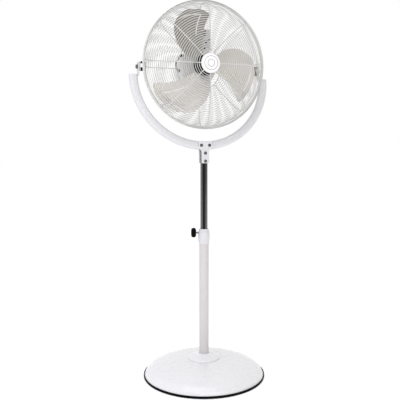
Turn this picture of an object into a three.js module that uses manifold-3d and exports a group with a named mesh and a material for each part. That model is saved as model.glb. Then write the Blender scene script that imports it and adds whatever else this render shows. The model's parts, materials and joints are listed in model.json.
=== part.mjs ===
// Pedestal fan: weighted round base, telescopic mast, C-shaped yoke and a tilting caged head.
// Millimetres, +Z up, floor at Z = 0, mast on the Z axis, the fan blows towards -Y.
import * as THREE from 'three';
import { mergeVertices } from 'three/addons/utils/BufferGeometryUtils.js';
import Module from 'manifold-3d';

const wasm = await Module();
wasm.setup();

// ---------------------------------------------------------------- driving dimensions
const GAP = 0.3;                   // working clearance between neighbouring pieces

const BASE_R = 240;                // outside of the rubber edge trim
const BASE_SHEET = 2;              // thickness of the base cover
const TRIM_H = 10;
const HUB_R = 63;                  // raised hub in the middle of the base
const HUB_Z = 68;                  // height where the hub meets the cover
const HUB_TOP = 88.5;
const WEIGHT_Z = 4;                // underside of the cast weight
const SOCKET_Z = 40;               // floor of the socket that takes the outer tube

const OUTER_R = 19;                // outer tube, 38 mm
const OUTER_WALL = 1.5;
const OUTER_TOP = 555;
const INNER_R = 14;                // inner tube, 28 mm
const INNER_WALL = 1.6;
const INNER_BOTTOM = 331;
const INNER_TOP = 889;

const COLLAR_Z = [527, 586];
const KNOB_Z = 570;                // height clamping knob
const KNOB_TURN = 160.5;           // direction of the knob round the mast, degrees from +X
const STUD_R = 4;

const PLATE_IN = 13.4;             // inner faces of the two clamp plates, from the mast axis
const PLATE_T = 4.5;
const PLATE_Z = [842, 927];
const NECK_HALF = 15;
const CLAMP_SCREW_R = 2.8;
const CLAMP_SCREWS = [[-16.5, 911, 'upper_left'], [16.5, 911, 'upper_right'],
  [0, 881, 'middle'], [0, 850, 'lower']];

const YOKE_Z = 909.5;              // lowest point of the yoke centreline
const YOKE_R = 266;                // centreline radius of the yoke arc
const YOKE_LEAN = 9.4;             // the yoke leans back, degrees
const YOKE_W = 33;                 // tube section in the plane of the arc
const YOKE_D = 24;                 // tube section front to back
const YOKE_CORNER = 11;
const YOKE_WALL = 2;
const PIVOT_UP = 300;              // pivot, measured up the leaning plane from YOKE_Z

const HEAD_Z = 1214;               // fan axis
const GUARD_R = 236.9;             // centreline of the guard rim wires
const RIM_WIRE = 2.4;
const RING_WIRE = 1.6;
const SPOKE_WIRE = 1.8;
const SPOKES = 8;
const FRONT_RIM_Y = -14;
const REAR_RIM_Y = -6;
// guard outlines as radius and Y, from the centre out to the rim
const FRONT_OUTLINE = [[30, -74], [90, -73], [150, -68], [195, -57], [222, -39], [GUARD_R, FRONT_RIM_Y]];
const REAR_OUTLINE = [[90, 60], [130, 60], [178, 58], [208, 52], [226, 40], [234, 24],
  [GUARD_R, REAR_RIM_Y]];
const FRONT_RINGS = [70, 112, 152, 186, 214];
const REAR_RINGS = [128, 164, 198];
const RING_OFFSET = 2.1;           // the rings are welded on one side of the spokes

const TAB_X = [245, 248.3];        // flat pivot tabs on the yoke, measured from the middle
const TAB_HALF = 13;
const PIVOT_PLATE_X = [241.2, 244.6]; // plates on the cage that the pivot bolts pass through
const PIVOT_PLATE_Y = [26, 61];
const CLAMP_BAR_X = [223.5, 226.5]; // clamp bar inside the guard wires
const CLAMP_Y = [22, 38];
const CLAMP_Z = [[10.6, 16.6], [-17.5, -5.5]]; // upper and lower clamp leg, from the pivot
const BRACKET_SCREW_Y = 33;
const PIVOT_BOLT_R = 4;

const MOTOR_R = 75;
const MOTOR_Y = [66.6, 108, 150];  // front face, split line, rear face
const SHELL = 2.5;
const SHAFT_R = 6;
const STRAP_Y = [62.5, 66.3];
const STRAP_TOP = 150;             // upper end of the strap, above the fan axis
const STRAP_FOOT = -118;
const STRAP_WIDE = 49;             // half width of its upper half
const STRAP_NARROW = 30;           // half width of its lower half
const STRAP_BOLTS = [[18.7, 140, 'upper'], [-9, -108, 'lower']];

const HUB_RADIUS = 39;             // fan hub
const HUB_Y = [-32, 12];
const BLADES = 3;
const BLADE_ANGLE = 353.4;         // direction of the first blade seen from the front
const BLADE_ROOT = 39.4;
const BLADE_TIP = 216;
const BLADE_T = 1.6;

// ---------------------------------------------------------------- helpers
const rad = THREE.MathUtils.degToRad;
const PIVOT = { y: PIVOT_UP * Math.sin(rad(YOKE_LEAN)), z: YOKE_Z + PIVOT_UP * Math.cos(rad(YOKE_LEAN)) };
const group = new THREE.Group();
group.name = 'pedestal_fan';

// Weld a geometry, drop its collapsed triangles and turn it right side out.
function sealed(geometry) {
  geometry.deleteAttribute('normal');
  geometry.deleteAttribute('uv');
  const welded = mergeVertices(geometry, 1e-4);
  const index = [...welded.index.array];
  const point = (i) => new THREE.Vector3().fromBufferAttribute(welded.attributes.position, i);
  const kept = [];
  let volume = 0;
  for (let i = 0; i < index.length; i += 3) {
    const [a, b, c] = index.slice(i, i + 3);
    if (a === b || b === c || c === a) continue;
    volume += point(a).dot(point(b).cross(point(c)));
    kept.push(a, b, c);
  }
  if (volume < 0) kept.reverse();
  welded.setIndex(kept);
  return welded;
}

function toManifold(geometry) {
  const clean = sealed(geometry.clone());
  return new wasm.Manifold(new wasm.Mesh({
    numProp: 3,
    vertProperties: new Float32Array(clean.attributes.position.array),
    triVerts: new Uint32Array(clean.index.array),
  }));
}

function fromManifold(body) {
  const mesh = body.getMesh();
  const geometry = new THREE.BufferGeometry();
  geometry.setAttribute('position', new THREE.BufferAttribute(new Float32Array(mesh.vertProperties), 3));
  geometry.setIndex([...mesh.triVerts]);
  return geometry;
}

const join = (...parts) => fromManifold(parts.map(toManifold).reduce((a, b) => a.add(b)).simplify(0.02));
const cut = (part, ...tools) => (
  fromManifold(tools.map(toManifold).reduce((a, b) => a.subtract(b), toManifold(part))));

// A closed profile of [radius, height] turned about the Y axis, or about Z.
function turnedY(profile, segments = 32) {
  const onAxis = profile[0][0] === 0 && profile.at(-1)[0] === 0;
  const loop = onAxis ? profile : [...profile, profile[0]];
  return sealed(new THREE.LatheGeometry(loop.map(([r, h]) => new THREE.Vector2(r, h)), segments));
}
const turnedZ = (profile, segments = 32) => turnedY(profile, segments).rotateX(Math.PI / 2);
const turnedX = (profile, segments = 32) => turnedY(profile, segments).rotateZ(-Math.PI / 2);

const sleeve = (r0, r1, h0, h1) => [[r0, h0], [r1, h0], [r1, h1], [r0, h1]];
const rod = (r, h0, h1) => [[0, h0], [r, h0], [r, h1], [0, h1]];
const box = (x0, x1, y0, y1, z0, z1) => new THREE.BoxGeometry(x1 - x0, y1 - y0, z1 - z0)
  .translate((x0 + x1) / 2, (y0 + y1) / 2, (z0 + z1) / 2);

const screwHole = (x, z, r) => turnedY(rod(r, -40, 40), 12).translate(x, 0, z);

const finishes = {
  white: { color: 0xeeeef0, roughness: 0.35, metalness: 0.0 },
  offWhite: { color: 0xe4e3e2, roughness: 0.4, metalness: 0.0 },
  greyPaint: { color: 0x9a9a98, roughness: 0.5, metalness: 0.2 },
  wire: { color: 0xdcdcda, roughness: 0.35, metalness: 0.2 },
  black: { color: 0x121212, roughness: 0.5, metalness: 0.0 },
  rubber: { color: 0x0d0d0d, roughness: 0.85, metalness: 0.0 },
  darkChrome: { color: 0x6b6a68, roughness: 0.15, metalness: 1.0 },
  steel: { color: 0x8d8f90, roughness: 0.35, metalness: 1.0 },
  aluminium: { color: 0xc9c8c6, roughness: 0.3, metalness: 1.0 },
  castIron: { color: 0x3c3c3e, roughness: 0.8, metalness: 0.6 },
  copper: { color: 0xb26a3c, roughness: 0.4, metalness: 1.0 },
  brass: { color: 0xb59a55, roughness: 0.35, metalness: 1.0 },
};

function add(name, geometry, finish) {
  const mesh = new THREE.Mesh(sealed(geometry), new THREE.MeshStandardMaterial(finishes[finish]));
  mesh.geometry.computeVertexNormals();
  mesh.name = name;
  group.add(mesh);
}

// Hexagon-headed bolt along +Y: head from y0, shank to y1.
function bolt(headR, headH, shankR, y0, y1) {
  const head = turnedY(rod(headR, y0, y0 + headH), 6);
  const shank = turnedY(rod(shankR, y0 + headH / 2, y1), 12);
  return join(head, shank);
}

// ---------------------------------------------------------------- base
const domeOuter = [[BASE_R - 3.5, 7], [230, 20], [205, 38], [155, 56], [100, 65.5], [HUB_R, HUB_Z]];
const domeInner = domeOuter.map(([r, z]) => [r - BASE_SHEET * 0.4, z - BASE_SHEET]).reverse();
add('base_cover', turnedZ([...domeOuter, [OUTER_R + GAP, HUB_Z], [OUTER_R + GAP, HUB_Z - BASE_SHEET],
  ...domeInner], 40), 'white');
add('base_edge_trim', turnedZ([[BASE_R - 12, 0], [BASE_R - 1.5, 0], [BASE_R, 2], [BASE_R, TRIM_H - 2],
  [BASE_R - 1.5, TRIM_H], [BASE_R - 3.2, TRIM_H], [BASE_R - 3.2, 3.5], [BASE_R - 12, 3.5]], 40), 'rubber');
add('base_weight', turnedZ([[6.5, 16], [28, 16], [28, WEIGHT_Z], [170, WEIGHT_Z], [170, 14], [60, 18],
  [36, 24], [34, 58], [OUTER_R + GAP, 58], [OUTER_R + GAP, SOCKET_Z], [6.5, SOCKET_Z]], 28), 'castIron');
add('base_hub', turnedZ([[HUB_R, HUB_Z + GAP], [HUB_R - 1, HUB_Z + 4], [50, HUB_Z + 9.5],
  [35, HUB_Z + 15.5], [24, HUB_Z + 19.7], [OUTER_R + GAP, HUB_TOP],
  [OUTER_R + GAP, HUB_Z + GAP]], 28), 'white');

add('outer_tube', turnedZ(sleeve(OUTER_R - OUTER_WALL, OUTER_R, SOCKET_Z + GAP, OUTER_TOP), 32), 'offWhite');
add('tube_plug', turnedZ(sleeve(6.3, OUTER_R - OUTER_WALL - GAP, SOCKET_Z + GAP, 66), 24), 'steel');
add('base_tie_bolt', bolt(10, 7, 6, 8.7, 62).rotateX(Math.PI / 2), 'steel');

// ---------------------------------------------------------------- height clamp
const along = (geometry) => geometry.rotateZ(rad(KNOB_TURN)).translate(0, 0, KNOB_Z);
const studHole = along(turnedX(rod(STUD_R + GAP, 10, 30), 16));
const [collarBottom, collarTop] = COLLAR_Z;
add('height_collar', cut(turnedZ([[20, collarBottom], [21.6, collarBottom + 5], [22.8, 545], [22.8, 566],
  [21.2, 577], [18.6, collarTop], [INNER_R + GAP, collarTop], [INNER_R + GAP, OUTER_TOP + GAP],
  [OUTER_R + GAP, OUTER_TOP + GAP], [OUTER_R + GAP, collarBottom]], 32), studHole), 'offWhite');
add('clamp_shoe', along(turnedX(rod(STUD_R - GAP, INNER_R + GAP, INNER_R + 2.3), 12)), 'brass');
add('height_stud', along(turnedX(rod(STUD_R, INNER_R + 2.6, 46), 12)), 'steel');
add('height_knob', along(turnedX([[0, 46.4], [STUD_R + GAP, 46.4], [STUD_R + GAP, 30.5], [11, 30.5],
  [17, 34], [18.8, 38], [18.8, 44], [16.5, 48.5], [10, 50.5], [0, 50.5]], 24)), 'black');

// ---------------------------------------------------------------- sliding mast
add('guide_bush', turnedZ([[10, INNER_BOTTOM - 6], [17.2, INNER_BOTTOM - 6], [17.2, INNER_BOTTOM + 34],
  [INNER_R + GAP, INNER_BOTTOM + 34], [INNER_R + GAP, INNER_BOTTOM - GAP],
  [10, INNER_BOTTOM - GAP]], 24), 'black');
add('inner_tube', cut(turnedZ(sleeve(INNER_R - INNER_WALL, INNER_R, INNER_BOTTOM, INNER_TOP), 28),
  ...CLAMP_SCREWS.slice(2).map(([x, z]) => screwHole(x, z, CLAMP_SCREW_R + GAP))), 'darkChrome');

// ---------------------------------------------------------------- yoke, built upright and then leant back
const lean = (geometry) => geometry.rotateX(-rad(YOKE_LEAN)).translate(0, 0, YOKE_Z);

function roundedSection(width, depth, corner) {
  const [w, d] = [width / 2, depth / 2];
  const shape = new THREE.Shape().moveTo(w - corner, -d);
  const arc = (cx, cy, from) => shape.absarc(cx, cy, corner, from, from + Math.PI / 2);
  arc(w - corner, -d + corner, -Math.PI / 2);
  arc(w - corner, d - corner, 0);
  arc(-w + corner, d - corner, Math.PI / 2);
  arc(-w + corner, -d + corner, Math.PI);
  return shape;
}

class YokeArc extends THREE.Curve {
  constructor(over) { super(); this.over = over; }
  getPoint(t, target = new THREE.Vector3()) {
    const angle = (t * 2 - 1) * (Math.PI / 2 + this.over);
    return target.set(YOKE_R * Math.sin(angle), 0, YOKE_R * (1 - Math.cos(angle)));
  }
}

const sweepYoke = (width, depth, corner, over) => (
  new THREE.ExtrudeGeometry(roundedSection(depth, width, corner),
    { steps: 22, curveSegments: 2, extrudePath: new YokeArc(over) }));
const yokeBody = cut(sweepYoke(YOKE_W, YOKE_D, YOKE_CORNER, 0),
  sweepYoke(YOKE_W - 2 * YOKE_WALL, YOKE_D - 2 * YOKE_WALL, YOKE_CORNER - YOKE_WALL, 0.02));
add('yoke_tube', cut(lean(yokeBody),
  ...CLAMP_SCREWS.slice(0, 2).map(([x, z]) => screwHole(x, z, CLAMP_SCREW_R + GAP))), 'white');

for (const [side, name] of [[-1, 'left'], [1, 'right']]) {
  const section = (w, d, c, from, to) => new THREE.ExtrudeGeometry(roundedSection(w, d, c),
    { depth: to - from, bevelEnabled: false, curveSegments: 2 }).translate(side * YOKE_R, 0, from);
  add(`yoke_end_cap_${name}`, lean(join(section(YOKE_W, YOKE_D, YOKE_CORNER, YOKE_R + GAP, YOKE_R + 3.5),
    section(YOKE_W - 7, YOKE_D - 6, YOKE_CORNER - 3, YOKE_R - 6, YOKE_R + 1))), 'white');

  // flat tab welded to the inner face of the arm, with a rounded top
  const [tabFoot, tabTop] = [PIVOT_UP - 34, PIVOT_UP + 5];
  const tabShape = new THREE.Shape().moveTo(-TAB_HALF, tabFoot).lineTo(TAB_HALF, tabFoot)
    .lineTo(TAB_HALF, tabTop).absarc(0, tabTop, TAB_HALF, 0, Math.PI).lineTo(-TAB_HALF, tabFoot);
  tabShape.holes.push(new THREE.Path().absarc(0, PIVOT_UP, PIVOT_BOLT_R + GAP, 0, 2 * Math.PI, true));
  const thick = { depth: TAB_X[1] - TAB_X[0], bevelEnabled: false, curveSegments: 8 };
  const tab = new THREE.ExtrudeGeometry(tabShape, thick)
    .rotateX(Math.PI / 2).rotateZ(Math.PI / 2).translate(side > 0 ? TAB_X[0] : -TAB_X[1], 0, 0);
  add(`pivot_tab_${name}`, lean(tab), 'white');

  const onPivot = (geometry) => geometry.rotateZ(side > 0 ? 0 : Math.PI).translate(0, PIVOT.y, PIVOT.z);
  const head = turnedX(rod(6.5, TAB_X[1] + GAP, TAB_X[1] + 7.5), 6);
  const shank = turnedX(rod(PIVOT_BOLT_R, PIVOT_PLATE_X[0] - 3, TAB_X[1] + 2), 12);
  add(`pivot_bolt_${name}`, onPivot(join(head, shank)), 'steel');

  // plate on the cage, with a black clamp that reaches in through the guard wires
  const onCage = (x0, x1, [y0, y1], [z0, z1]) => (
    box(...(side > 0 ? [x0, x1] : [-x1, -x0]), y0, y1, z0, z1).translate(0, 0, PIVOT.z));
  const screwRod = (r, x0, x1, z) => turnedX(rod(r, x0, x1), 10).rotateZ(side > 0 ? 0 : Math.PI)
    .translate(0, BRACKET_SCREW_Y, PIVOT.z + z);
  const screws = CLAMP_Z.map(([z0, z1]) => (z0 + z1) / 2);
  const fullZ = [CLAMP_Z[1][0], CLAMP_Z[0][1]];
  add(`pivot_plate_${name}`, cut(onCage(...PIVOT_PLATE_X, PIVOT_PLATE_Y, fullZ),
    onPivot(turnedX(rod(PIVOT_BOLT_R + GAP, 235, 250), 16)), ...screws.map((z) => screwRod(2, 235, 250, z)),
    ...screws.map((z) => screwRod(3.1, PIVOT_PLATE_X[1] - 2.2, 250, z))), 'wire');
  const legs = CLAMP_Z.map((z) => onCage(CLAMP_BAR_X[1] - 1, PIVOT_PLATE_X[0] - GAP, CLAMP_Y, z));
  add(`pivot_clamp_${name}`, cut(join(onCage(...CLAMP_BAR_X, [CLAMP_Y[0], CLAMP_Y[0] + 6], fullZ), ...legs),
    ...screws.map((z) => screwRod(2, 229, 250, z))), 'black');
  screws.forEach((z, i) => add(`bracket_screw_${name}_${['upper', 'lower'][i]}`,
    join(screwRod(2.8, PIVOT_PLATE_X[1] - 2.1, PIVOT_PLATE_X[1] - 0.2, z),
      screwRod(1.8, 230, PIVOT_PLATE_X[1] - 1, z)), 'steel'));
}

// ---------------------------------------------------------------- clamp plates, yoke to mast
function clampPlate() {
  const [z0, z1] = PLATE_Z;
  const [wide, fillet] = [27, 20];
  return new THREE.Shape().moveTo(-NECK_HALF + 3, z0).lineTo(NECK_HALF - 3, z0)
    .quadraticCurveTo(NECK_HALF, z0, NECK_HALF, z0 + 3).lineTo(NECK_HALF, z1 - 28 - fillet)
    .quadraticCurveTo(NECK_HALF, z1 - 30, wide, z1 - 27).lineTo(wide, z1 - 4)
    .quadraticCurveTo(wide, z1, wide - 4, z1).lineTo(-wide + 4, z1)
    .quadraticCurveTo(-wide, z1, -wide, z1 - 4).lineTo(-wide, z1 - 27)
    .quadraticCurveTo(-NECK_HALF, z1 - 30, -NECK_HALF, z1 - 28 - fillet).lineTo(-NECK_HALF, z0 + 3)
    .quadraticCurveTo(-NECK_HALF, z0, -NECK_HALF + 3, z0);
}
const mastGroove = turnedZ(rod(INNER_R + 0.05, PLATE_Z[0] - 5, INNER_TOP + 1), 28);
for (const [side, name] of [[-1, 'front'], [1, 'rear']]) {
  // shape in X and Z, thickness along Y
  const thick = { depth: PLATE_T, bevelEnabled: false, curveSegments: 4 };
  const plate = new THREE.ExtrudeGeometry(clampPlate(), thick)
    .rotateX(Math.PI / 2).translate(0, side < 0 ? -PLATE_IN : PLATE_IN + PLATE_T, 0);
  const holes = CLAMP_SCREWS.map(([x, z]) => screwHole(x, z, CLAMP_SCREW_R + GAP));
  add(`clamp_plate_${name}`, cut(plate, mastGroove, ...holes), 'white');
}
for (const [x, z, name] of CLAMP_SCREWS) {
  const face = -PLATE_IN - PLATE_T;
  const head = turnedY([[0, face - 3.4], [2.6, face - 3.4], [4.8, face - 1.6], [5, face - GAP / 2],
    [0, face - GAP / 2]], 16);
  const shank = turnedY(rod(CLAMP_SCREW_R, face - 1, PLATE_IN + PLATE_T + 1.5), 12);
  add(`clamp_screw_${name}`, join(head, shank).translate(x, 0, z), 'steel');
}

// ---------------------------------------------------------------- cage
const headPart = (geometry) => geometry.translate(0, 0, HEAD_Z);

const outlineCurve = (outline, angle) => new THREE.CatmullRomCurve3(outline.map(([r, y]) => (
  new THREE.Vector3(r * Math.cos(angle), y, r * Math.sin(angle)))), false, 'chordal');
// Radius and Y of a point beside the guard outline, offset square to it; positive is towards +Y.
function besideOutline(outline, radius, offset) {
  const points = outlineCurve(outline, 0).getPoints(200);
  const i = points.reduce((best, p, k) => (
    Math.abs(p.x - radius) < Math.abs(points[best].x - radius) ? k : best), 1);
  const tangent = points[Math.min(i + 1, 200)].clone().sub(points[i - 1]).normalize();
  return [points[i].x - tangent.y * offset, points[i].y + tangent.x * offset];
}
// four-sided wire ring round the fan axis
const wireRing = (radius, y, wire, segments) => new THREE.TorusGeometry(radius, wire, 4, segments)
  .rotateX(Math.PI / 2).translate(0, y, 0);

function guard(outline, rings, rimY, ringOffset, centre) {
  const w = SPOKE_WIRE * 0.8;
  const square = new THREE.Shape().moveTo(w, -w).lineTo(w, w).lineTo(-w, w).lineTo(-w, -w).lineTo(w, -w);
  const parts = [wireRing(GUARD_R, rimY, RIM_WIRE, 36), centre];
  for (const r of rings) {
    parts.push(wireRing(...besideOutline(outline, r, ringOffset), RING_WIRE, r > 150 ? 24 : 16));
  }
  for (let i = 0; i < SPOKES; i += 1) {
    const path = outlineCurve(outline, (i / SPOKES) * 2 * Math.PI);
    parts.push(new THREE.ExtrudeGeometry(square, { steps: 12, extrudePath: path }));
  }
  return headPart(join(...parts));
}
add('front_guard', guard(FRONT_OUTLINE, FRONT_RINGS, FRONT_RIM_Y, -RING_OFFSET,
  turnedY(rod(34, FRONT_OUTLINE[0][1] - 1, FRONT_OUTLINE[0][1] + 1.5), 24)), 'wire');
add('rear_guard', guard(REAR_OUTLINE, REAR_RINGS, REAR_RIM_Y, -RING_OFFSET,
  wireRing(91, 60, 2.2, 24)), 'wire');
const bandProfile = sleeve(GUARD_R + RIM_WIRE + GAP, 242, FRONT_RIM_Y - 4, REAR_RIM_Y + 4);
add('guard_band', headPart(turnedY(bandProfile, 36)), 'wire');
const badgeBack = FRONT_OUTLINE[0][1] - 1.8;
add('guard_badge', headPart(turnedY([[0, badgeBack - 5.7], [28, badgeBack - 5.7], [33, badgeBack - 4.2],
  [36, badgeBack - 1.7], [36, badgeBack], [0, badgeBack]], 32)), 'white');

// ---------------------------------------------------------------- motor on its upright strap
const [strapFront, strapBack] = STRAP_Y;
const strapRight = [[STRAP_NARROW, STRAP_FOOT], [STRAP_NARROW, 40], [STRAP_WIDE, 70],
  [STRAP_WIDE, STRAP_TOP - 5], [STRAP_WIDE - 5, STRAP_TOP]];
const strapOutline = [...strapRight, ...strapRight.map(([x, z]) => [-x, z]).reverse()];
const strapShape = new THREE.Shape(strapOutline.map(([x, z]) => new THREE.Vector2(x, z)));
const strapSheet = { depth: strapBack - strapFront, bevelEnabled: false };
const strapBlank = new THREE.ExtrudeGeometry(strapShape, strapSheet)
  .rotateX(Math.PI / 2).translate(0, strapBack, 0);
add('motor_strap', headPart(cut(strapBlank, turnedY(rod(21, 50, 80), 24),
  ...STRAP_BOLTS.map(([x, z]) => turnedY(rod(3.3, 50, 80), 12).translate(x, 0, z)))), 'greyPaint');
for (const [x, z, name] of STRAP_BOLTS) {
  const strapBolt = join(turnedY(rod(6, strapBack + 0.1, strapBack + 4), 6),
    turnedY(rod(3, 54, strapBack + 2), 12));
  add(`strap_bolt_${name}`, headPart(strapBolt.translate(x, 0, z)), 'steel');
}

const [front, split, back] = MOTOR_Y;
const bearingR = 14;
// cup-shaped shell with a bearing boss; inward points from the end wall to the split line
const shellProfile = (end, inward, open) => [[SHAFT_R + 2, end], [MOTOR_R - 8, end],
  [MOTOR_R, end + inward * 8], [MOTOR_R, open], [MOTOR_R - SHELL, open],
  [MOTOR_R - SHELL, end + inward * 9], [MOTOR_R - 9, end + inward * SHELL],
  [bearingR + 4, end + inward * SHELL], [bearingR + 4, end + inward * 14],
  [bearingR + GAP, end + inward * 14],
  [bearingR + GAP, end + inward * SHELL], [SHAFT_R + 2, end + inward * SHELL]];
const knobX = 44;
const glandSpot = [-40, -26];
const controlHole = (x, z, r) => turnedY(rod(r, back - 8, back + 8), 16).translate(x, 0, z);
add('motor_front_shell', headPart(turnedY(shellProfile(front, 1, split), 32)), 'greyPaint');
add('motor_rear_shell', headPart(cut(turnedY(shellProfile(back, -1, split + GAP), 32),
  controlHole(knobX, 0, 4.3), controlHole(...glandSpot, 6.3))), 'greyPaint');
add('front_bearing', headPart(turnedY(sleeve(SHAFT_R + GAP, bearingR, front + 4, front + 13), 24)), 'steel');
add('rear_bearing', headPart(turnedY(sleeve(SHAFT_R + GAP, bearingR, back - 13, back - 4), 24)), 'steel');
add('stator_core', headPart(turnedY(sleeve(41.3, MOTOR_R - SHELL - GAP, 93, 123), 32)), 'steel');
const windingProfile = [[33.5, 84], [37, 82], [41, 84], [41, 132], [37, 134], [33.5, 132]];
add('stator_winding', headPart(turnedY(windingProfile, 24)), 'copper');
add('run_capacitor', headPart(box(-20, 20, back - 17, back - 5, -62, -42)), 'black');
add('switch_body', headPart(box(-11, 11, back - 15, back - 3, -11, 11).translate(knobX, 0, 0)), 'black');
const knobProfile = [[0, back + 1], [15, back + 1], [14, back + 12], [12.5, back + 14], [0, back + 14]];
const knobSpindle = turnedY(rod(3.8, back - 2.5, back + 3), 12);
const knobGrip = box(-2.2, 2.2, back + 10, back + 17, -12, 12);
const knobBody = join(turnedY(knobProfile, 24), knobSpindle, knobGrip);
add('speed_knob', headPart(knobBody.translate(knobX, 0, 0)), 'black');
add('cable_gland', headPart(turnedY([[4, back - 5], [6, back - 5], [6, back + GAP], [9, back + GAP],
  [8, back + 9], [5.5, back + 14], [4, back + 14]], 16).translate(glandSpot[0], 0, glandSpot[1])), 'black');

// lead that leaves the motor side, loops outwards and goes back in
const leadPoints = [[-58.5, 48.5], [-69, 43], [-82, 26], [-88, 6], [-85, -8], [-73.8, -16.5]]
  .map(([x, z]) => new THREE.Vector3(x, 80, z));
const leadSection = new THREE.Shape().absarc(0, 0, 2.4, 0, 2 * Math.PI);
const leadTube = new THREE.ExtrudeGeometry(leadSection,
  { steps: 14, curveSegments: 4, extrudePath: new THREE.CatmullRomCurve3(leadPoints) });
add('motor_lead', headPart(cut(leadTube, turnedY(rod(MOTOR_R + GAP, front, back), 32))), 'black');

// ---------------------------------------------------------------- rotor and impeller
const shaftFront = HUB_Y[0] - 10;
add('motor_shaft', headPart(turnedY(rod(SHAFT_R, shaftFront, back - 3.2), 20)), 'steel');
add('rotor_core', headPart(turnedY(sleeve(SHAFT_R + 0.05, 32.3, 91, 125), 24)), 'steel');
const [hubFront, hubBack] = HUB_Y;
add('fan_hub', headPart(turnedY([[SHAFT_R + 0.05, hubFront], [34, hubFront], [HUB_RADIUS, hubFront + 5],
  [HUB_RADIUS, hubBack], [HUB_RADIUS - 3, hubBack], [HUB_RADIUS - 3, hubFront + 4], [13, hubFront + 4],
  [13, hubBack - 6], [SHAFT_R + 0.05, hubBack - 6]], 28)), 'black');
add('hub_nut', headPart(cut(turnedY(rod(10, shaftFront + 2, hubFront - GAP), 6),
  turnedY(rod(SHAFT_R + 0.05, -60, 0), 20))), 'steel');

// Paddle blade: nearly straight edge at the back, bowed edge at the front, twisted about its radius.
function blade(direction) {
  const [rows, columns] = [8, 6];
  const surface = (i, j, face) => {
    const s = j / columns;
    const tip = BLADE_TIP - 24 * Math.max(0, 2 * s - 1) ** 3 - 14 * Math.max(0, 1 - s / 0.4) ** 2;
    const r = BLADE_ROOT + ((tip - BLADE_ROOT) * i) / rows;
    const u = (r - BLADE_ROOT) / (BLADE_TIP - BLADE_ROOT);
    const straight = -20 - 16 * u ** 1.4 + 1.5 * Math.sin(Math.PI * u);
    const bowed = 51 - 43 * u ** 1.6;
    const angle = rad(direction + straight + (bowed - straight) * s);
    const rear = 4 + 32 * u ** 1.6;
    const front = -26 + 10 * u - 12 * Math.sin(Math.PI * u);
    const y = rear + (front - rear) * s + 7 * (1 - (2 * s - 1) ** 2) * u;
    return [r * Math.cos(angle), y + (face * BLADE_T) / 2, r * Math.sin(angle)];
  };
  const vertices = [];
  for (const face of [-1, 1]) {
    for (let i = 0; i <= rows; i += 1) {
      for (let j = 0; j <= columns; j += 1) vertices.push(...surface(i, j, face));
    }
  }
  const at = (i, j, face) => face * (rows + 1) * (columns + 1) + i * (columns + 1) + j;
  const index = [];
  const quad = (a, b, c, d) => index.push(a, b, c, a, c, d);
  for (let i = 0; i < rows; i += 1) {
    for (let j = 0; j < columns; j += 1) {
      quad(at(i, j, 0), at(i, j + 1, 0), at(i + 1, j + 1, 0), at(i + 1, j, 0));
      quad(at(i, j, 1), at(i + 1, j, 1), at(i + 1, j + 1, 1), at(i, j + 1, 1));
    }
    quad(at(i, 0, 0), at(i + 1, 0, 0), at(i + 1, 0, 1), at(i, 0, 1));
    quad(at(i, columns, 0), at(i, columns, 1), at(i + 1, columns, 1), at(i + 1, columns, 0));
  }
  for (let j = 0; j < columns; j += 1) {
    quad(at(0, j, 0), at(0, j, 1), at(0, j + 1, 1), at(0, j + 1, 0));
    quad(at(rows, j, 0), at(rows, j + 1, 0), at(rows, j + 1, 1), at(rows, j, 1));
  }
  const geometry = new THREE.BufferGeometry();
  geometry.setAttribute('position', new THREE.Float32BufferAttribute(vertices, 3));
  geometry.setIndex(index);
  return geometry;
}
for (let i = 0; i < BLADES; i += 1) {
  add(`blade_${i + 1}`, headPart(blade(BLADE_ANGLE + (i * 360) / BLADES)), 'aluminium');
}

export default group;
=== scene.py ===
import json
import math

import bmesh
import bpy
from mathutils import Matrix, Vector


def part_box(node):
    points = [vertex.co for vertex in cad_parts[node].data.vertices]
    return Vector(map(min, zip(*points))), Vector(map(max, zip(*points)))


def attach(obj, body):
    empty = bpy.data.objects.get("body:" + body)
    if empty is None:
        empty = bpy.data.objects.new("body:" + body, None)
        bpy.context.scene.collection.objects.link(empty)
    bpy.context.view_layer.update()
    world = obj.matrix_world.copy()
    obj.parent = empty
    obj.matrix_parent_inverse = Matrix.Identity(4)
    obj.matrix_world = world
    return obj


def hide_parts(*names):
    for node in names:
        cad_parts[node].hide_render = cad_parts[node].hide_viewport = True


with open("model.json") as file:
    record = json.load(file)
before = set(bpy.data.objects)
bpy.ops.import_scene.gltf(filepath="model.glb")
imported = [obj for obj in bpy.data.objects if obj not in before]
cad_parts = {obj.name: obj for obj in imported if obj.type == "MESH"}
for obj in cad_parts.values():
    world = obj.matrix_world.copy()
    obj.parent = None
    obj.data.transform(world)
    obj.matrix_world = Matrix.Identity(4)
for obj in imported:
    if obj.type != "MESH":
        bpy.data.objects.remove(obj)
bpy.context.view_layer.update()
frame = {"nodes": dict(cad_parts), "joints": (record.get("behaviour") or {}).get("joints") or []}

MM = 0.001
TAU = 2 * math.pi

# ------------------------------------------------------------------ sizes read from the frame


def low(node):
    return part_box(node)[0]


def high(node):
    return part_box(node)[1]


def centre(node):
    return (low(node) + high(node)) / 2


JOINTS = {joint["name"]: joint for joint in frame["joints"]}
PIVOT = Vector(JOINTS["head_tilt"]["pos_m"])
FAN_AXIS_Z = JOINTS["impeller_spin"]["pos_m"][2]
KNOB_AXIS = Vector(JOINTS["height_knob_turn"]["axis"])
KNOB_Z = JOINTS["height_knob_turn"]["pos_m"][2]
HEAD = Vector((0, 0, FAN_AXIS_Z))

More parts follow.
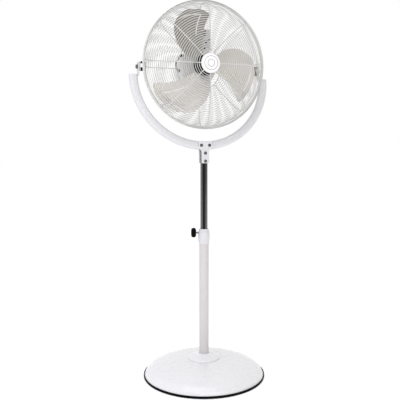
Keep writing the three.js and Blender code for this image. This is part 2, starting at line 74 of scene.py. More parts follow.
BASE_R = high("base_edge_trim").x
TUBE_R = high("outer_tube").x
MAST_R = high("inner_tube").x
RIM_WIRE = 2.4 * MM
GUARD_R = high("front_guard").x - RIM_WIRE
FRONT_RIM_Y = high("front_guard").y - RIM_WIRE
REAR_RIM_Y = low("rear_guard").y + RIM_WIRE
GUARD_FRONT = -74 * MM
GUARD_REAR = 60 * MM
YOKE_W = 33 * MM
YOKE_R = high("yoke_tube").x - YOKE_W / 2
YOKE_D = 24 * MM
YOKE_CORNER = 11 * MM
LEAN = math.radians(9.4)
YOKE_LOW = PIVOT.z - 300 * MM * math.cos(LEAN)
MOTOR_R = high("motor_front_shell").x
MOTOR_BACK = high("motor_rear_shell").y
STRAP_FRONT = low("motor_strap").y
GAP = 0.3 * MM  # clearance of a sliding fit
FORWARD = (0, -1, 0)
BACKWARD = (0, 1, 0)

# ------------------------------------------------------------------ mesh helpers


def new_object(name, data):
    obj = bpy.data.objects.new(name, data)
    bpy.context.scene.collection.objects.link(obj)
    return obj


def build(name, parts, sharp=32):
    """One mesh object from a list of (points, faces), with its faces turned outwards."""
    points, faces = [], []
    for part_points, part_faces in parts:
        start = len(points)
        points.extend(part_points)
        faces.extend([[start + i for i in face] for face in part_faces])
    mesh = bpy.data.meshes.new(name)
    mesh.from_pydata([tuple(p) for p in points], [], faces)
    bm = bmesh.new()
    bm.from_mesh(mesh)
    bmesh.ops.remove_doubles(bm, verts=bm.verts, dist=1e-7)
    bmesh.ops.recalc_face_normals(bm, faces=bm.faces)
    bm.to_mesh(mesh)
    bm.free()
    mesh.shade_smooth()
    mesh.set_sharp_from_angle(angle=math.radians(sharp))
    return new_object(name, mesh)


def aim(axis, at):
    """Matrix that takes local +Z to axis and the origin to at."""
    turn = Vector((0, 0, 1)).rotation_difference(Vector(axis))
    return Matrix.Translation(at) @ turn.to_matrix().to_4x4()


def on_axis(y, axis=BACKWARD):
    """Matrix for a part on the fan's axis at a depth y."""
    return aim(axis, HEAD + Vector((0, y, 0)))


def moved(part, matrix):
    points, faces = part
    return [matrix @ Vector(p) for p in points], faces


def lathe(profile, segments=96, closed=True, shape=None):
    """Turn (radius, height) points about +Z. shape(angle, radius, height) may change the radius."""
    points, rows = [], []
    for r, h in profile:
        if r < 1e-7:
            rows.append([len(points)])
            points.append(Vector((0, 0, h)))
            continue
        rows.append(list(range(len(points), len(points) + segments)))
        for k in range(segments):
            a = TAU * k / segments
            radius = shape(a, r, h) if shape else r
            points.append(Vector((radius * math.cos(a), radius * math.sin(a), h)))
    faces = []
    pairs = list(zip(rows, rows[1:]))
    if closed:
        pairs.append((rows[-1], rows[0]))
    for one, two in pairs:
        for k in range(segments):
            j = (k + 1) % segments
            if len(one) > 1 and len(two) > 1:
                faces.append([one[k], one[j], two[j], two[k]])
            elif len(two) > 1:
                faces.append([one[0], two[j], two[k]])
            elif len(one) > 1:
                faces.append([one[k], one[j], two[0]])
    return points, faces


def rounded(profile, radius, steps=4, closed=True):
    """Round each corner of a profile with a short curve. Points on the axis stay as they are."""
    count, out = len(profile), []
    for i, corner in enumerate(profile):
        ends = not closed and i in (0, count - 1)
        if ends or corner[0] < 1e-7:
            out.append(corner)
            continue
        here = Vector(corner)
        before = Vector(profile[i - 1]) - here
        after = Vector(profile[(i + 1) % count]) - here
        reach = min(radius, before.length * 0.45, after.length * 0.45)
        start = here + before.normalized() * reach
        end = here + after.normalized() * reach
        for s in range(steps + 1):
            t = s / steps
            p = start * (1 - t) ** 2 + here * 2 * t * (1 - t) + end * t**2
            out.append((p.x, p.y))
    return out


def smooth(points, per_span=8):
    """Catmull-Rom curve through points of any size."""
    pts = [Vector(p) for p in points]
    pts = [2 * pts[0] - pts[1], *pts, 2 * pts[-1] - pts[-2]]
    out = []
    for a, b, c, d in zip(pts, pts[1:], pts[2:], pts[3:]):
        for s in range(per_span):
            t = s / per_span
            out.append(0.5 * (2 * b + (c - a) * t + (2 * a - 5 * b + 4 * c - d) * t**2
                              + (3 * b - a - 3 * c + d) * t**3))
    return out + [pts[-2]]


def curve_points(points, per_span):
    return [tuple(p) for p in smooth(points, per_span)]


def circle(radius, sides):
    return [(radius * math.cos(TAU * k / sides), radius * math.sin(TAU * k / sides))
            for k in range(sides)]


def heading(path, i):
    """Unit direction of a path at its point i."""
    return (path[min(i + 1, len(path) - 1)] - path[max(i - 1, 0)]).normalized()


def tube_faces(rows, sides):
    """Faces between rows of sides points each, with a cap on the first row and on the last."""
    faces = [[i * sides + k, i * sides + (k + 1) % sides, (i + 1) * sides + (k + 1) % sides,
              (i + 1) * sides + k] for i in range(rows - 1) for k in range(sides)]
    return [*faces, list(range(sides))[::-1], [(rows - 1) * sides + k for k in range(sides)]]


def sweep(path, section, normal):
    """Sweep (across, along-normal) points down a path that lies in the plane square to normal."""
    path = [Vector(p) for p in path]
    normal = Vector(normal).normalized()
    points = []
    for i, p in enumerate(path):
        across = normal.cross(heading(path, i))
        points += [p + across * a + normal * b for a, b in section]
    return points, tube_faces(len(path), len(section))


def free_sweep(path, radius, sides):
    """Round tube down a path that bends in any direction."""
    path = [Vector(p) for p in path]
    points, across = [], None
    for i, p in enumerate(path):
        along = heading(path, i)
        across = along.orthogonal() if across is None else across - along * across.dot(along)
        across.normalize()
        up = along.cross(across)
        points += [p + across * a + up * b for a, b in circle(radius, sides)]
    return points, tube_faces(len(path), sides)


def plate(outline, thickness):
    """Flat plate from an outline in X and Y, between Z = 0 and thickness."""
    count = len(outline)
    points = [Vector((x, y, z)) for z in (0, thickness) for x, y in outline]
    faces = [list(range(count))[::-1], list(range(count, 2 * count))]
    faces += [[k, (k + 1) % count, count + (k + 1) % count, count + k] for k in range(count)]
    return points, faces


def hexagonal(angle, across):
    """Radius at an angle of a hexagon whose flats are this far from its centre."""
    return across / math.cos((angle % (TAU / 6)) - math.pi / 6)


def solidify(obj, thickness, offset):
    mod = obj.modifiers.new("sheet", "SOLIDIFY")
    mod.thickness = thickness
    mod.offset = offset


def bevel(obj, width, segments, angle):
    mod = obj.modifiers.new("edge", "BEVEL")
    mod.width = width
    mod.segments = segments
    mod.limit_method = "ANGLE"
    mod.angle_limit = math.radians(angle)
    mod.harden_normals = True


def finish(obj, body, material, slot, *nodes):
    """Give a new piece its material and body, and let it stand for its CAD nodes; slot is not used."""
    obj.data.materials.append(material)
    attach(obj, body)
    if nodes:
        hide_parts(*nodes)


# ------------------------------------------------------------------ materials


class Nodes:
    """Small helper round one material's node tree."""

    def __init__(self, name):
        self.material = bpy.data.materials.new(name)
        self.material.use_nodes = True
        self.tree = self.material.node_tree
        self.shader = self.tree.nodes["Principled BSDF"]
        self.coords = self.tree.nodes.new("ShaderNodeTexCoord").outputs["Object"]

    def add(self, kind, **settings):
        node = self.tree.nodes.new(kind)
        for key, value in settings.items():
            if hasattr(node, key):
                setattr(node, key, value)
            else:
                node.inputs[key.replace("_", " ")].default_value = value
        return node

    def link(self, source, target):
        self.tree.links.new(source, target)

    def stretched(self, scale):
        mapping = self.add("ShaderNodeMapping")
        mapping.inputs["Scale"].default_value = scale
        self.link(self.coords, mapping.inputs["Vector"])
        return mapping.outputs["Vector"]

    def noise(self, scale, detail=4.0, vector=None):
        node = self.add("ShaderNodeTexNoise", Scale=scale, Detail=detail, Roughness=0.55)
        self.link(vector or self.coords, node.inputs["Vector"])
        return node.outputs["Fac"]

    def span(self, value, low_to, high_to, low_from=0.3, high_from=0.7):
        node = self.add("ShaderNodeMapRange")
        for key, number in (("From Min", low_from), ("From Max", high_from),
                            ("To Min", low_to), ("To Max", high_to)):
            node.inputs[key].default_value = number
        self.link(value, node.inputs["Value"])
        return node.outputs["Result"]

    def blend(self, value, first, second, low_from=0.3, high_from=0.7):
        ramp = self.add("ShaderNodeValToRGB")
        ramp.color_ramp.elements[0].position = low_from
        ramp.color_ramp.elements[1].position = high_from
        ramp.color_ramp.elements[0].color = (*first, 1)
        ramp.color_ramp.elements[1].color = (*second, 1)
        self.link(value, ramp.inputs["Fac"])
        return ramp.outputs["Color"]

    def bump(self, value, strength, distance):
        node = self.add("ShaderNodeBump", Strength=strength, Distance=distance)
        self.link(value, node.inputs["Height"])
        self.link(node.outputs["Normal"], self.shader.inputs["Normal"])

    def set(self, **values):
        for key, value in values.items():
            self.shader.inputs[key.replace("_", " ")].default_value = value

    def colour(self, value, first, second, *ends):
        self.link(self.blend(value, first, second, *ends), self.shader.inputs["Base Color"])

    def gloss(self, value, rough):
        self.link(self.span(value, *rough), self.shader.inputs["Roughness"])


def paint(name, first, second, rough, grain, depth=0.02 * MM, coat=0.0, shine=0.5):
    """Sprayed or powder-coated surface: faint cloudy colour, orange peel and uneven gloss."""
    n = Nodes(name)
    n.colour(n.noise(9, 6), first, second)
    n.gloss(n.noise(35, 5), rough)
    n.bump(n.noise(grain, 2), 0.35, depth)
    n.set(Specular_IOR_Level=shine, Coat_Weight=coat, Coat_Roughness=0.12)
    return n.material


def moulded(name, first, second, rough, grain=1600, depth=0.03 * MM, shine=0.5):
    """Moulded plastic or rubber with a fine spark-eroded grain."""
    n = Nodes(name)
    n.colour(n.noise(22, 5), first, second)
    n.gloss(n.noise(60, 4), rough)
    cells = n.add("ShaderNodeTexVoronoi", Scale=grain)
    n.link(n.coords, cells.inputs["Vector"])
    n.bump(cells.outputs["Distance"], 0.25, depth)
    n.set(Specular_IOR_Level=shine)
    return n.material


def lined(name, first, second, rough, stretch, depth, cloud=12):
    """Start of a metal: cloudy colour, and fine lines along the axis whose stretch is smallest."""
    n = Nodes(name)
    lines = n.noise(14, 5, n.stretched(stretch))
    n.colour(n.noise(cloud, 6), first, second)
    n.gloss(lines, rough)
    n.bump(lines, 0.3, depth)
    return n


def metal(name, first, second, rough, stretch=(60, 60, 60), depth=0.01 * MM, metallic=1.0, cloud=12):
    """Bare metal, drawn or cast."""
    n = lined(name, first, second, rough, stretch, depth, cloud)
    n.set(Metallic=metallic)
    return n.material


def plated(name, first, second, rough):
    """Dark plating: nearly black where it faces the eye, with gloss that grows towards its outline."""
    n = lined(name, first, second, rough, (90, 90, 1.5), FINE_LINES)
    facing = n.add("ShaderNodeLayerWeight", Blend=0.5).outputs["Facing"]
    n.link(n.span(facing, 0.02, 0.42, 0.035, 0.15), n.shader.inputs["Specular IOR Level"])
    n.set(IOR=2.4)
    return n.material


def laminated(name, first, second, pitch):
    """Stack of thin sheets: fine stripes square to Y."""
    n = Nodes(name)
    wave = n.add("ShaderNodeTexWave", wave_type="BANDS", bands_direction="Y", Scale=pitch, Distortion=0.4)
    n.link(n.coords, wave.inputs["Vector"])
    n.colour(wave.outputs["Fac"], first, second, 0.2, 0.8)
    n.gloss(n.noise(40), (0.35, 0.55))
    n.bump(wave.outputs["Fac"], 0.5, 0.15 * MM)
    n.set(Metallic=0.9)
    return n.material


FINE_LINES = 0.002 * MM
ROLLED = (40, 4, 40)

WHITE = paint("white_powder_coat", (0.60, 0.60, 0.61), (0.635, 0.635, 0.64), (0.3, 0.4), 700,
              depth=0.01 * MM, coat=0.15)
TUBE_WHITE = paint("tube_powder_coat", (0.565, 0.545, 0.54), (0.585, 0.565, 0.56), (0.3, 0.4), 800)
BASE_WHITE = paint("base_enamel", (0.77, 0.77, 0.775), (0.79, 0.79, 0.795), (0.24, 0.32), 500,
                   depth=0.006 * MM, coat=0.25)
WIRE = paint("guard_coating", (0.58, 0.58, 0.56), (0.64, 0.64, 0.62), (0.25, 0.38), 1500, coat=0.35)
GREY = paint("motor_enamel", (0.67, 0.67, 0.655), (0.73, 0.73, 0.715), (0.35, 0.5), 800)
BLACK_PAINT = paint("clamp_paint", (0.006, 0.006, 0.006), (0.011, 0.011, 0.012), (0.5, 0.65), 900,
                    shine=0.15)
GLOSS_WHITE = moulded("collar_moulding", (0.60, 0.60, 0.61), (0.64, 0.64, 0.65), (0.25, 0.36), 900,
                      depth=0.01 * MM)
BADGE_WHITE = moulded("badge_moulding", (0.82, 0.82, 0.82), (0.86, 0.86, 0.86), (0.2, 0.3), 900,
                      depth=0.006 * MM)
BLACK = moulded("black_moulding", (0.0015, 0.0015, 0.0015), (0.003, 0.003, 0.003), (0.42, 0.58),
                shine=0.05)
RUBBER = moulded("edge_rubber", (0.001, 0.001, 0.001), (0.0025, 0.0025, 0.0025), (0.6, 0.8), 1100,
                 depth=0.05 * MM, shine=0.05)
DARK_CHROME = plated("dark_plating", (0.004, 0.004, 0.0035), (0.007, 0.0065, 0.006), (0.14, 0.22))
STEEL = metal("zinc_steel", (0.42, 0.42, 0.43), (0.52, 0.52, 0.52), (0.28, 0.45))
DARK_STEEL = metal("dark_zinc_steel", (0.10, 0.10, 0.10), (0.15, 0.15, 0.155), (0.3, 0.5))
ALUMINIUM = metal("rolled_aluminium", (0.50, 0.485, 0.42), (0.55, 0.525, 0.50), (0.28, 0.36),
                  ROLLED, FINE_LINES, metallic=0.95, cloud=5)
# pale, less metallic aluminium for the blade ribs: a painted highlight along each pressed bead
RIB_HIGHLIGHT = metal("rib_painted_highlight", (0.80, 0.79, 0.74), (0.88, 0.87, 0.82), (0.25, 0.35),
                  ROLLED, FINE_LINES, metallic=0.4)
BRASS = metal("turned_brass", (0.55, 0.42, 0.18), (0.62, 0.48, 0.22), (0.25, 0.4))
IRON = metal("cast_iron", (0.05, 0.05, 0.052), (0.075, 0.075, 0.078), (0.6, 0.85), (30, 30, 30),
             depth=0.6 * MM, metallic=0.5)
LAMINATION = laminated("lamination_stack", (0.16, 0.16, 0.165), (0.34, 0.34, 0.35), 320)
COPPER = laminated("copper_winding", (0.36, 0.14, 0.05), (0.58, 0.27, 0.12), 260)

# ------------------------------------------------------------------ camera, light and floor

CAMERA_AZIMUTH = math.radians(-19.5)
CAMERA_DISTANCE = 2.2665
CAMERA_HEIGHT = 0.904
CAMERA_PITCH = math.radians(5.18)
CAMERA_SHIFT = -0.0099
LENS = 52.53
SENSOR = 36

WORLD_LEFT = (0.44, 0.43, 0.54, 1)
WORLD_MIDDLE = (0.46, 0.455, 0.48, 1)
WORLD_RIGHT = (0.42, 0.41, 0.36, 1)
WORLD_BEHIND = (1.0, 1.0, 1.0, 1)
# name, place, target, size, power, colour
LIGHTS = (
    ("key", (-0.9, -1.2, 3.2), (0, 0, 0.6), (2.6, 2.6), 34, (0.96, 0.95, 1.0)),
    ("side", (-2.6, -1.2, 1.3), (0, 0, 0.9), (1.4, 2.6), 6.5, (0.9, 0.88, 1.0)),
    ("front", (-0.5, -3.6, 1.2), (0, 0, 0.8), (3.0, 2.6), 41, (0.99, 0.985, 1.0)),
)
FLOOR_HALF = 30
FLOOR_Z = -0.5 * MM


def camera():
    data = bpy.data.cameras.new("camera")
    data.lens = LENS
    data.sensor_width = SENSOR
    data.shift_x = CAMERA_SHIFT
    obj = new_object("camera", data)
    obj.location = (math.sin(CAMERA_AZIMUTH) * CAMERA_DISTANCE,
                    -math.cos(CAMERA_AZIMUTH) * CAMERA_DISTANCE, CAMERA_HEIGHT)
    obj.rotation_euler = (math.pi / 2 - CAMERA_PITCH, 0, CAMERA_AZIMUTH)
    bpy.context.scene.camera = obj


def area_light(name, place, target, size, power, colour):
    data = bpy.data.lights.new(name, "AREA")
    data.shape = "RECTANGLE"
    data.size, data.size_y = size
    data.energy = power
    data.color = colour
    obj = new_object(name, data)
    obj.location = place
    obj.rotation_euler = (Vector(target) - Vector(place)).to_track_quat("-Z", "Y").to_euler()


def studio():
    """Bright behind the fan, darker in front of it, and cooler on the left than on the right."""
    scene = bpy.context.scene
    scene.view_settings.view_transform = "Standard"
    world = bpy.data.worlds.new("studio")
    world.use_nodes = True
    nodes, link = world.node_tree.nodes, world.node_tree.links.new
    back = nodes["Background"]
    axes = nodes.new("ShaderNodeSeparateXYZ")
    link(nodes.new("ShaderNodeTexCoord").outputs["Generated"], axes.inputs["Vector"])

    across = nodes.new("ShaderNodeMapRange")
    across.inputs["From Min"].default_value = -1.0
    link(axes.outputs["X"], across.inputs["Value"])
    side = nodes.new("ShaderNodeValToRGB")
    side.color_ramp.elements[0].color = WORLD_LEFT
    side.color_ramp.elements[1].color = WORLD_RIGHT
    side.color_ramp.elements.new(0.35).color = WORLD_MIDDLE
    link(across.outputs["Result"], side.inputs["Fac"])

    ahead = nodes.new("ShaderNodeMapRange")
    ahead.interpolation_type = "SMOOTHSTEP"
    ahead.inputs["From Min"].default_value = -0.35
    ahead.inputs["From Max"].default_value = 0.25
    link(axes.outputs["Y"], ahead.inputs["Value"])
    mix = nodes.new("ShaderNodeMix")
    mix.data_type = "RGBA"
    first, second, result = mix.inputs[6], mix.inputs[7], mix.outputs[2]
    link(ahead.outputs["Result"], mix.inputs["Factor"])
    link(side.outputs["Color"], first)
    second.default_value = WORLD_BEHIND
    link(result, back.inputs["Color"])
    scene.world = world

    for light in LIGHTS:
        area_light(*light)

    n = Nodes("floor_paper")
    n.colour(n.noise(3, 3), (0.93, 0.93, 0.93), (0.95, 0.95, 0.95))
    n.set(Roughness=0.9, Emission_Color=(1.0, 1.0, 1.0, 1.0), Emission_Strength=0.3)
    corners = [(x * FLOOR_HALF, y * FLOOR_HALF, FLOOR_Z) for x, y in ((-1, -1), (1, -1), (1, 1), (-1, 1))]
    floor = build("floor", [(corners, [[0, 1, 2, 3]])])
    floor.data.materials.append(n.material)


# ------------------------------------------------------------------ base and stand


def base():
    top = high("base_cover").z
    hub_r = high("base_hub").x
    outline = [(hub_r - 8 * MM, top), (hub_r, top), (100 * MM, 65.5 * MM), (155 * MM, 56 * MM),
               (205 * MM, 38 * MM), (230 * MM, 20 * MM)]
    dome = curve_points(outline, 10)
    edge = BASE_R - 3.5 * MM
    dome += [(edge - 3 * MM, 10.5 * MM), (edge, 7.6 * MM), (edge, 5 * MM)]
    sheet = 2 * MM
    inner = [(r - sheet * 0.6, z - sheet) for r, z in reversed(dome[:-1])]
    hole = TUBE_R + GAP
    profile = [(hole, top), *dome, (edge - sheet, 5 * MM), *inner, (hole, top - sheet)]
    finish(build("base_shell", [lathe(profile, 192)]), "stand", BASE_WHITE, "white_paint", "base_cover")

    trim = [(BASE_R - 12 * MM, 0), (BASE_R - 1 * MM, 0), (BASE_R, 3 * MM), (BASE_R - 0.4 * MM, 9 * MM),
            (BASE_R - 3.4 * MM, 10 * MM), (BASE_R - 3.4 * MM, 4.5 * MM), (BASE_R - 12 * MM, 3.5 * MM)]
    finish(build("edge_trim", [lathe(rounded(trim, 1.4 * MM), 192)]), "stand", RUBBER, "edge_rubber",
           "base_edge_trim")

    foot, crown = low("base_hub").z, high("base_hub").z
    shoulder = [(hub_r, foot), (hub_r - 0.6 * MM, foot + 3 * MM), (hub_r - 6 * MM, foot + 6.5 * MM),
                (46 * MM, foot + 10.5 * MM), (33 * MM, foot + 15 * MM), (25 * MM, foot + 18.8 * MM),
                (hole + 1.2 * MM, crown)]
    profile = [*curve_points(shoulder, 8), (hole, crown - 0.6 * MM), (hole, foot)]
    finish(build("base_hub_cap", [lathe(profile, 128)]), "stand", BASE_WHITE, "white_paint", "base_hub")


def tube(node, radius, wall, corner):
    """Upright tube as high as its CAD node."""
    z0, z1 = low(node).z, high(node).z
    profile = [(radius - wall, z0), (radius, z0), (radius, z1), (radius - wall, z1)]
    return lathe(rounded(profile, corner), 96)


def stand():
    outer = tube("outer_tube", TUBE_R, 1.5 * MM, 0.5 * MM)
    finish(build("stand_tube", [outer]), "stand", TUBE_WHITE, "tube_paint", "outer_tube")

    z0, z1 = low("height_collar").z, high("height_collar").z
    bore, socket = MAST_R + GAP, TUBE_R + GAP
    widest = high("height_collar").y
    outside = [(20.2 * MM, z0 + 0.4 * MM), (21.2 * MM, z0 + 5 * MM), (widest - 0.6 * MM, z0 + 15 * MM),
               (widest, z0 + 27 * MM), (widest - 0.3 * MM, z0 + 39 * MM), (21.3 * MM, z0 + 48.5 * MM)]
    lip = [(20.2 * MM, z0 + 51 * MM), (19.2 * MM, z0 + 51.6 * MM), (19.2 * MM, z1 - 1.2 * MM),
           (18.2 * MM, z1), (bore + 0.8 * MM, z1), (bore, z1 - 0.8 * MM), (bore, z1 - 29 * MM),
           (socket, z1 - 30 * MM), (socket, z0)]
    profile = [*curve_points(outside, 8), *lip, (20 * MM, z0)]
    finish(build("collar", [lathe(profile, 128)]), "stand", GLOSS_WHITE, "collar_plastic", "height_collar")

    inner = tube("inner_tube", MAST_R, 1.6 * MM, 0.4 * MM)
    finish(build("mast_tube", [inner]), "mast", DARK_CHROME, "dark_chrome", "inner_tube")


def thread(radius, pitch, depth):
    """Radius of a screw thread at an angle and height."""
    def shape(angle, r, h):
        if r < radius * 0.99:
            return r
        phase = (h / pitch - angle / TAU) % 1
        return radius - depth * (1 - abs(2 * phase - 1))
    return shape


def height_knob():
    place = aim(KNOB_AXIS, (0, 0, KNOB_Z))
    start, end, radius, pitch = 16.6 * MM, 46 * MM, 4 * MM, 1.5 * MM
    rows = int((end - start) / pitch * 6)
    side = [(radius, start + (end - start) * i / rows) for i in range(rows + 1)]
    stud = lathe([(0, start), *side, (0, end)], 28, False, thread(radius, pitch, 0.75 * MM))
    finish(build("clamp_stud", [moved(stud, place)], 60), "height_clamp", STEEL, "plain_steel",
           "height_stud")

    grip_r = high("height_knob").z - KNOB_Z
    lobe_count, lobe_depth = 7, 0.06

    def lobes(angle, r, h):
        grip = max(0.0, min(1.0, (r - 12 * MM) / (4 * MM)))
        return r * (1 - lobe_depth * grip * (0.5 - 0.5 * math.cos(lobe_count * angle)) ** 1.5)

    outer = [(0, 50.5 * MM), (9 * MM, 50.3 * MM), (grip_r - 2.6 * MM, 48.2 * MM), (grip_r, 43 * MM),
             (grip_r, 37.6 * MM), (grip_r - 2.4 * MM, 33.4 * MM), (10.5 * MM, 30.6 * MM)]
    profile = [*curve_points(outer, 6), (8.4 * MM, 31.4 * MM), (4.4 * MM, 31.4 * MM),
               (4.4 * MM, 44 * MM), (0, 44 * MM)]
    knob = lathe(profile, 168, False, lobes)
    finish(build("clamp_knob", [moved(knob, place)], 45), "height_clamp", BLACK, "black_plastic",
           "height_knob")


# ------------------------------------------------------------------ neck and yoke


def neck_outline():
    """Outline of a clamp plate: one half from the foot up, then its mirror image back down."""
    z0, z1 = low("clamp_plate_front").z, high("clamp_plate_front").z
    neck, wide = 15 * MM, high("clamp_plate_front").x
    corner = [(neck - 4 * MM, z0), (neck - 1.2 * MM, z0 + 1.2 * MM), (neck, z0 + 4 * MM)]
    flare = curve_points([(neck, z1 - 52 * MM), (neck + 0.4 * MM, z1 - 42 * MM),
                          (neck + 2.6 * MM, z1 - 34 * MM), (wide, z1 - 27 * MM)], 5)
    crown = [(wide, z1 - 5 * MM), (wide - 1.4 * MM, z1 - 1.4 * MM), (wide - 5 * MM, z1)]
    half = [*corner, *flare, *crown]
    return half + [(-x, z) for x, z in reversed(half)]


def screw_head(place, head_r, head_h):
    """Domed screw head with a hexagon socket, pointing along the Z of place."""
    socket = head_r * 0.5
    outer = [(0, 0), (head_r, 0), (head_r, head_h * 0.35), (head_r * 0.82, head_h * 0.8),
             (head_r * 0.6, head_h), (socket, head_h), (socket * 0.98, head_h * 0.35), (0, head_h * 0.3)]

    def six_sided(angle, r, h):
        if r > socket * 1.02 or h < head_h * 0.3:
            return r
        return hexagonal(angle, r * math.cos(math.pi / 6)) * 1.05

    return moved(lathe(rounded(outer, head_r * 0.12, 3, False), 48, False, six_sided), place)


def pin(radius, length, segments, place, chamfer=0.0):
    """Plain shank along the Z of place; a chamfered one has a slightly narrower tip."""
    profile = [(0, 0), (radius, 0), (radius, length), (0, length)]
    if chamfer:
        profile[3:] = [(radius - chamfer, length + chamfer), (0, length + chamfer)]
    return moved(lathe(profile, segments, False), place)


def neck():
    outline = neck_outline()
    for name in ("front", "rear"):
        lo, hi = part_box(f"clamp_plate_{name}")
        body = plate(outline, hi.y - lo.y)
        # the outline's Y becomes Z, and its thickness runs along -Y
        upright = Matrix.Translation((0, hi.y, 0)) @ Matrix.Rotation(math.pi / 2, 4, "X")
        obj = build(f"neck_plate_{name}", [moved(body, upright)])
        bevel(obj, 1.3 * MM, 4, 50)
        finish(obj, "mast", WHITE, "white_paint", f"clamp_plate_{name}")
    front = low("clamp_plate_front").y
    rear = high("clamp_plate_rear").y
    for name in ("upper_left", "upper_right", "middle", "lower"):
        spot = centre(f"clamp_screw_{name}")
        place = aim(FORWARD, (spot.x, front, spot.z))
        head = screw_head(place, 5 * MM, 3.2 * MM)
        rim = [(3 * MM, 0), (6.2 * MM, 0), (6.2 * MM, 0.8 * MM), (3 * MM, 0.8 * MM)]
        washer = moved(lathe(rounded(rim, 0.3 * MM), 40), place)
        length = rear - front + 1.4 * MM
        stem = [(0, 0), (2.8 * MM, 0), (2.8 * MM, length), (0, length + 0.6 * MM)]
        shank = moved(lathe(stem, 24, False), aim(BACKWARD, (spot.x, front, spot.z)))
        finish(build(f"neck_screw_{name}", [head, washer, shank]), "mast", DARK_STEEL, "dark_steel",
               f"clamp_screw_{name}")


def oval(width, depth, corner, steps):
    """Rounded rectangle, width across the path and depth along its normal."""
    w, d = width / 2 - corner, depth / 2 - corner
    out = []
    for cx, cy, start in ((w, d, 0), (-w, d, 1), (-w, -d, 2), (w, -d, 3)):
        for s in range(steps + 1):
            a = (start + s / steps) * math.pi / 2
            out.append((cx + corner * math.cos(a), cy + corner * math.sin(a)))
    return out


def yoke_point(angle):
    """Point of the leaning yoke's centreline; angle 0 is its lowest point."""
    x = YOKE_R * math.sin(angle)
    rise = YOKE_R * (1 - math.cos(angle))
    return Vector((x, rise * math.sin(LEAN), YOKE_LOW + rise * math.cos(LEAN)))


YOKE_NORMAL = Vector((0, math.cos(LEAN), -math.sin(LEAN)))
YOKE_UP = Vector((0, math.sin(LEAN), math.cos(LEAN)))
# height in mm above the arm's end, and share of its section
CAP_LAYERS = [(0.0, 1.0), (1.6, 1.0), (2.6, 0.97), (3.2, 0.88), (3.4, 0.7)]


def yoke():
    path = [yoke_point((2 * i / 128 - 1) * math.pi / 2) for i in range(129)]
    bow = sweep(path, oval(YOKE_W, YOKE_D, YOKE_CORNER, 10), YOKE_NORMAL)
    finish(build("yoke_bow", [bow], 50), "mast", WHITE, "white_paint", "yoke_tube")
    for side, name in ((-1, "left"), (1, "right")):
        end = yoke_point(side * math.pi / 2)
        points = []
        for height, share in CAP_LAYERS:
            inset = (1 - share) * YOKE_D / 2
            ring = oval(YOKE_W - 2 * inset, YOKE_D - 2 * inset, YOKE_CORNER - inset * 0.8, 10)
            level = end + YOKE_UP * height * MM
            points += [level + Vector((a, 0, 0)) + YOKE_NORMAL * b for a, b in ring]
        cap = points, tube_faces(len(CAP_LAYERS), len(ring))
        finish(build(f"yoke_cap_{name}", [cap], 40), "mast", GLOSS_WHITE, "collar_plastic",
               f"yoke_end_cap_{name}")


def pivots():
    def bolt_flats(angle, r, h):
        flat = hexagonal(angle, 6.5 * MM)
        return min(r, flat) if r < 7 * MM else flat

    for side, name in ((-1, "left"), (1, "right")):
        axis = Vector((side, 0, 0))
        tab_face = max(abs(low(f"pivot_tab_{name}").x), abs(high(f"pivot_tab_{name}").x))
        at = Vector((side * tab_face, PIVOT.y, PIVOT.z))
        place = aim(axis, at)
        hexagon = [(0, 1.2 * MM), (7.4 * MM, 1.2 * MM), (7.4 * MM, 5.6 * MM), (6.4 * MM, 6.2 * MM),
                   (0, 6.2 * MM)]
        head = moved(lathe(hexagon, 96, False, bolt_flats), place)
        rim = [(0, 0), (8.6 * MM, 0), (8.6 * MM, 1.3 * MM), (0, 1.3 * MM)]
        washer = moved(lathe(rounded(rim, 0.4 * MM, 3, False), 48, False), place)
        shank = pin(4 * MM, 11 * MM, 32, aim(-axis, at), 0.6 * MM)
        finish(build(f"pivot_screw_{name}", [head, washer, shank], 30), "mast", DARK_STEEL, "dark_steel",
               f"pivot_bolt_{name}")

        for level in ("upper", "lower"):
            node = f"bracket_screw_{name}_{level}"
            lo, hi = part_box(node)
            head_h = 1.9 * MM
            seat = max(abs(lo.x), abs(hi.x)) - head_h
            spot = Vector((side * seat, centre(node).y, centre(node).z))
            head = screw_head(aim(axis, spot), 2.8 * MM, head_h)
            stem = pin(1.8 * MM, 12 * MM, 20, aim(-axis, spot))
            finish(build(f"lug_screw_{name}_{level}", [head, stem]), "head", DARK_STEEL, "dark_steel", node)


# ------------------------------------------------------------------ cage

# guard outlines from the middle to the rim, as (radius, depth) in mm
FRONT_OUTLINE = [(30, -74), (90, -73), (150, -68), (195, -57), (222, -39),
                 (GUARD_R / MM, FRONT_RIM_Y / MM)]
REAR_OUTLINE = [(90, 60), (130, 60), (178, 58), (208, 52), (226, 40), (234, 24),
                (GUARD_R / MM, REAR_RIM_Y / MM)]
RING_PITCH = 8.3 * MM
RING_STOP = 9 * MM
FINE_WIRE = 1.15 * MM
SPOKE_WIRE = 1.7 * MM
RING_LIFT = FINE_WIRE + SPOKE_WIRE - 0.5 * MM
SPOKES = 8
HUB_DISC_R = 34 * MM
EYE_R = 90 * MM
EYE_WIRE = 2 * MM
STAY_LEVELS = (-9 * MM, 17.5 * MM)


def outline_curve(points):
    return [p * MM for p in smooth([Vector(p) for p in points], 24)]


def wire_ring(radius, y, wire, segments=144, sides=8):
    profile = [(radius + a, b) for a, b in circle(wire, sides)]
    return moved(lathe(profile, segments), on_axis(y))


def fine_rings(curve, start):
    """Fine rings spaced evenly along a guard's outline, in front of its spokes."""
    rings, gone, due = [], 0.0, start
    end = sum((b - a).length for a, b in zip(curve, curve[1:])) - RING_STOP
    for a, b in zip(curve, curve[1:]):
        step = (b - a).length
        along = (b - a).normalized()
        while due <= gone + step and due < end:
            p = a.lerp(b, (due - gone) / step)
            rings.append(wire_ring(p.x + along.y * RING_LIFT, p.y - along.x * RING_LIFT, FINE_WIRE))
            due += RING_PITCH
        gone += step
    return rings


